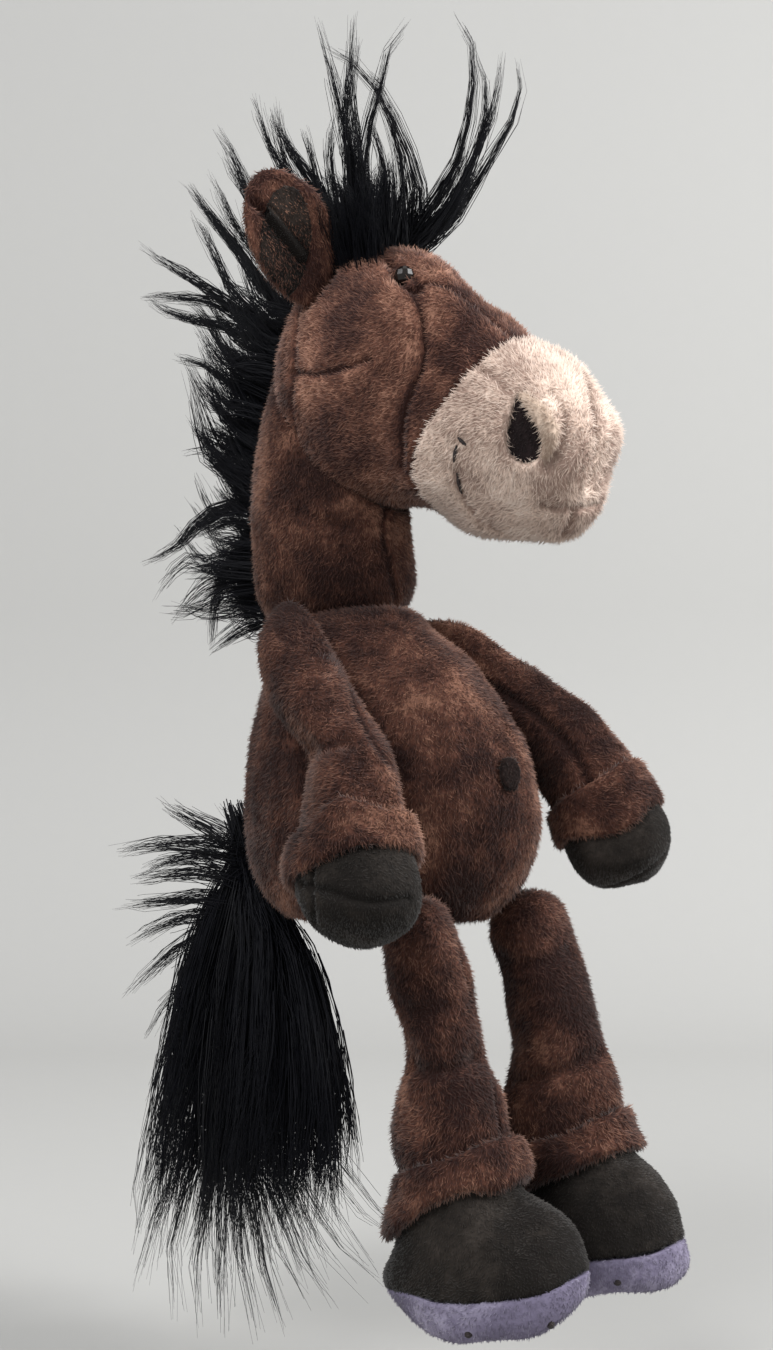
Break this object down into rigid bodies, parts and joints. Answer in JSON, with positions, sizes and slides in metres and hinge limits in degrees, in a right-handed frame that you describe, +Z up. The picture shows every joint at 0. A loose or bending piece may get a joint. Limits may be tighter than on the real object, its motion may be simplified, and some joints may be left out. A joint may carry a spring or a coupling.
{
  "type": "plush horse",
  "caption": "Sitting plush horse with long hanging legs, cuffed wrists and ankles, hoofs, floppy ears and long black mane and tail.",
  "frame": {"origin": "middle of the flat seat under the body", "axes": "+Z up, -Y the way the body faces, +X to the left of the toy"},
  "size_m": [0.2043, 0.2932, 0.5661],
  "materials": {
    "brown_plush": "short brown pile with nap marks",
    "taupe_plush": "longer taupe pile",
    "pale_plush": "pale taupe pile on a turned edge",
    "charcoal_plush": "very short charcoal pile",
    "lavender_plush": "short grey lavender pile",
    "hair": "long black artificial hair with a soft shine",
    "thread": "dark embroidery thread",
    "eye": "polished black bead",
    "label": "bare folded ribbon"
  },
  "bodies": {
    "torso": {"mane_lower": "hair", "navel_stitch": "thread", "neck": "brown_plush", "side_label": "label", "torso": "brown_plush"},
    "head": {"eye_left": "eye", "eye_right": "eye", "forelock": "hair", "head": "brown_plush", "mane_upper": "hair", "mouth_stitch_left": "thread", "mouth_stitch_right": "thread", "muzzle": "taupe_plush", "nape": "brown_plush", "nostril_flap_left": "pale_plush", "nostril_flap_right": "pale_plush", "nostril_left": "charcoal_plush", "nostril_right": "charcoal_plush"},
    "ear_right": {"ear_lining_right": "charcoal_plush", "ear_right": "brown_plush"},
    "ear_left": {"ear_left": "brown_plush", "ear_lining_left": "charcoal_plush"},
    "arm_right": {"arm_cuff_right": "brown_plush", "arm_right": "brown_plush", "hand_hoof_right": "charcoal_plush"},
    "arm_left": {"arm_cuff_left": "brown_plush", "arm_left": "brown_plush", "hand_hoof_left": "charcoal_plush"},
    "leg_right": {"foot_hoof_right": "charcoal_plush", "leg_cuff_right": "brown_plush", "leg_right": "brown_plush", "sole_right": "lavender_plush", "sole_stitch_right_1": "thread", "sole_stitch_right_2": "thread"},
    "leg_left": {"foot_hoof_left": "charcoal_plush", "leg_cuff_left": "brown_plush", "leg_left": "brown_plush", "sole_left": "lavender_plush", "sole_stitch_left_1": "thread", "sole_stitch_left_2": "thread"},
    "tail": {"tail": "hair"}
  },
  "joints": [
    {"name": "neck_turn", "type": "hinge", "parent": "torso", "child": "head", "pos_m": [0, 0.038, 0.17], "axis": [0, 0, 1], "range_deg": [-42, 28]},
    {"name": "ear_right_flop", "type": "hinge", "parent": "head", "child": "ear_right", "pos_m": [-0.03346, 0.01738, 0.25949], "axis": [0.768, -0.4601, 0.4456], "range_deg": [-25, 25], "stiffness_Nm_per_rad": 0.03},
    {"name": "ear_left_flop", "type": "hinge", "parent": "head", "child": "ear_left", "pos_m": [0.01086, 0.0268, 0.26912], "axis": [0.6363, 0.7585, -0.1404], "range_deg": [-25, 25], "stiffness_Nm_per_rad": 0.03},
    {"name": "shoulder_right", "type": "hinge", "parent": "torso", "child": "arm_right", "pos_m": [-0.04574, 0.01, 0.106], "axis": [-0.9412, -0.2173, 0.2588], "range_deg": [-60, 75]},
    {"name": "shoulder_left", "type": "hinge", "parent": "torso", "child": "arm_left", "pos_m": [0.04574, 0.01, 0.106], "axis": [-0.9412, 0.2173, -0.2588], "range_deg": [-68, 50]},
    {"name": "hip_right", "type": "hinge", "parent": "torso", "child": "leg_right", "pos_m": [-0.033, -0.045, -0.009], "axis": [-1, 0, 0], "range_deg": [-30, 75]},
    {"name": "hip_left", "type": "hinge", "parent": "torso", "child": "leg_left", "pos_m": [0.033, -0.045, -0.009], "axis": [-1, 0, 0], "range_deg": [-30, 75]},
    {"name": "tail_lift", "type": "hinge", "parent": "torso", "child": "tail", "pos_m": [0, 0.07145, 0.024], "axis": [1, 0, 0], "range_deg": [-10, 60]}
  ]
}
